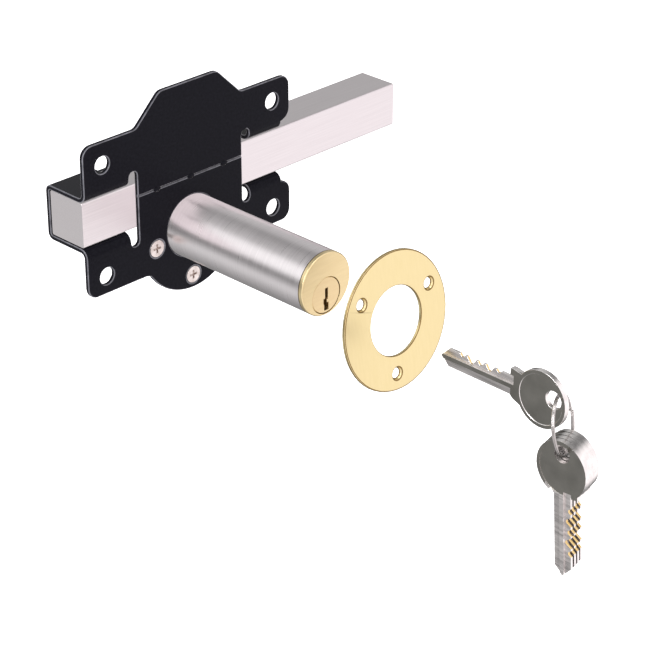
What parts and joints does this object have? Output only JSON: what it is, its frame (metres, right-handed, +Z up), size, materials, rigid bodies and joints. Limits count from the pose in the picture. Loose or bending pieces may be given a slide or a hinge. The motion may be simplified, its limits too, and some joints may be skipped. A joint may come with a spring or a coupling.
{
  "type": "long-throw gate lock",
  "caption": "Long-throw rim deadbolt for a gate, with a square bolt in a black bracket, a brass-faced key cylinder in a steel tube, an escutcheon ring and keys on a split ring.",
  "frame": {"origin": "centre of the four fixing holes, on the bracket's front face", "axes": "+X along the bolt towards its nose, -Y out of the front face along the key cylinder, +Z up"},
  "size_m": [0.1848, 0.2438, 0.1434],
  "materials": {
    "black_coat": "gloss",
    "brushed_stainless": "brushed",
    "screw_steel": "satin",
    "satin_brass": "satin",
    "plug_brass": "satin",
    "gear_brass": "satin",
    "zinc_steel": "satin",
    "key_nickel": "satin",
    "ring_steel": "polished"
  },
  "bodies": {
    "lock_case": {"bracket": "black_coat", "gear_case": "black_coat", "case_screw_left": "screw_steel", "case_screw_right": "screw_steel", "case_screw_bottom": "screw_steel", "cylinder_sleeve": "brushed_stainless", "cylinder_body": "satin_brass", "chamber_cap": "gear_brass", "cylinder_fixing_screw_left": "zinc_steel", "cylinder_fixing_screw_right": "zinc_steel", "idler_pin": "zinc_steel", "driver_pin_1": "zinc_steel", "driver_pin_2": "zinc_steel", "driver_pin_3": "zinc_steel", "driver_pin_4": "zinc_steel", "driver_pin_5": "zinc_steel", "pin_spring_1": "zinc_steel", "pin_spring_2": "zinc_steel", "pin_spring_3": "zinc_steel", "pin_spring_4": "zinc_steel", "pin_spring_5": "zinc_steel"},
    "bolt": {"bolt": "brushed_stainless"},
    "plug": {"plug": "plug_brass", "plug_clip": "zinc_steel", "tailpiece": "zinc_steel", "drive_gear": "gear_brass", "key_pin_1": "gear_brass", "key_pin_2": "gear_brass", "key_pin_3": "gear_brass", "key_pin_4": "gear_brass", "key_pin_5": "gear_brass"},
    "idler": {"idler_gear": "gear_brass"},
    "escutcheon": {"escutcheon": "satin_brass"},
    "key_1": {"key_1": "key_nickel"},
    "key_ring": {"key_ring": "ring_steel"},
    "key_2": {"key_2": "key_nickel"},
    "key_3": {"key_3": "key_nickel"},
    "key_4": {"key_4": "key_nickel"},
    "key_5": {"key_5": "key_nickel"}
  },
  "joints": [
    {"name": "bolt_slide", "type": "slide", "parent": "lock_case", "child": "bolt", "axis": [1, 0, 0], "range_m": [-0.0691, 0]},
    {"name": "plug_turn", "type": "hinge", "parent": "lock_case", "child": "plug", "pos_m": [0, 0, -0.0225], "axis": [0, 1, 0], "range_deg": [0, 720]},
    {"name": "idler_turn", "type": "hinge", "parent": "lock_case", "child": "idler", "pos_m": [0, 0.0084, -0.013], "axis": [0, 1, 0], "range_deg": [-990, 0]},
    {"name": "escutcheon_slide", "type": "slide", "parent": "lock_case", "child": "escutcheon", "axis": [0, 0.9981, 0.062], "range_m": [0, 0.041]},
    {"name": "key_insert", "type": "slide", "parent": "plug", "child": "key_1", "axis": [0, 1, 0], "range_m": [0, 0.0985]},
    {"name": "key_ring_swing", "type": "hinge", "parent": "key_1", "child": "key_ring", "pos_m": [0, -0.20142, -0.02144], "axis": [1, 0, 0], "range_deg": [-8, 8]},
    {"name": "key_2_swing", "type": "hinge", "parent": "key_ring", "child": "key_2", "pos_m": [-0.002, -0.20731, -0.04382], "axis": [1, 0, 0], "range_deg": [-12, 12]},
    {"name": "key_3_swing", "type": "hinge", "parent": "key_ring", "child": "key_3", "pos_m": [0.0006, -0.2063, -0.04448], "axis": [1, 0, 0], "range_deg": [-12, 12]},
    {"name": "key_4_swing", "type": "hinge", "parent": "key_ring", "child": "key_4", "pos_m": [0.0032, -0.20513, -0.04447], "axis": [1, 0, 0], "range_deg": [-12, 12]},
    {"name": "key_5_swing", "type": "hinge", "parent": "key_ring", "child": "key_5", "pos_m": [0.0058, -0.20381, -0.04373], "axis": [1, 0, 0], "range_deg": [-12, 12]}
  ],
  "couplings": [
    {"joint": "plug_turn", "follows": "bolt_slide", "rad_per_m": -181.82},
    {"joint": "idler_turn", "follows": "bolt_slide", "rad_per_m": 250},
    {"joint": "key_insert", "follows": "escutcheon_slide", "ratio": 2.4}
  ]
}
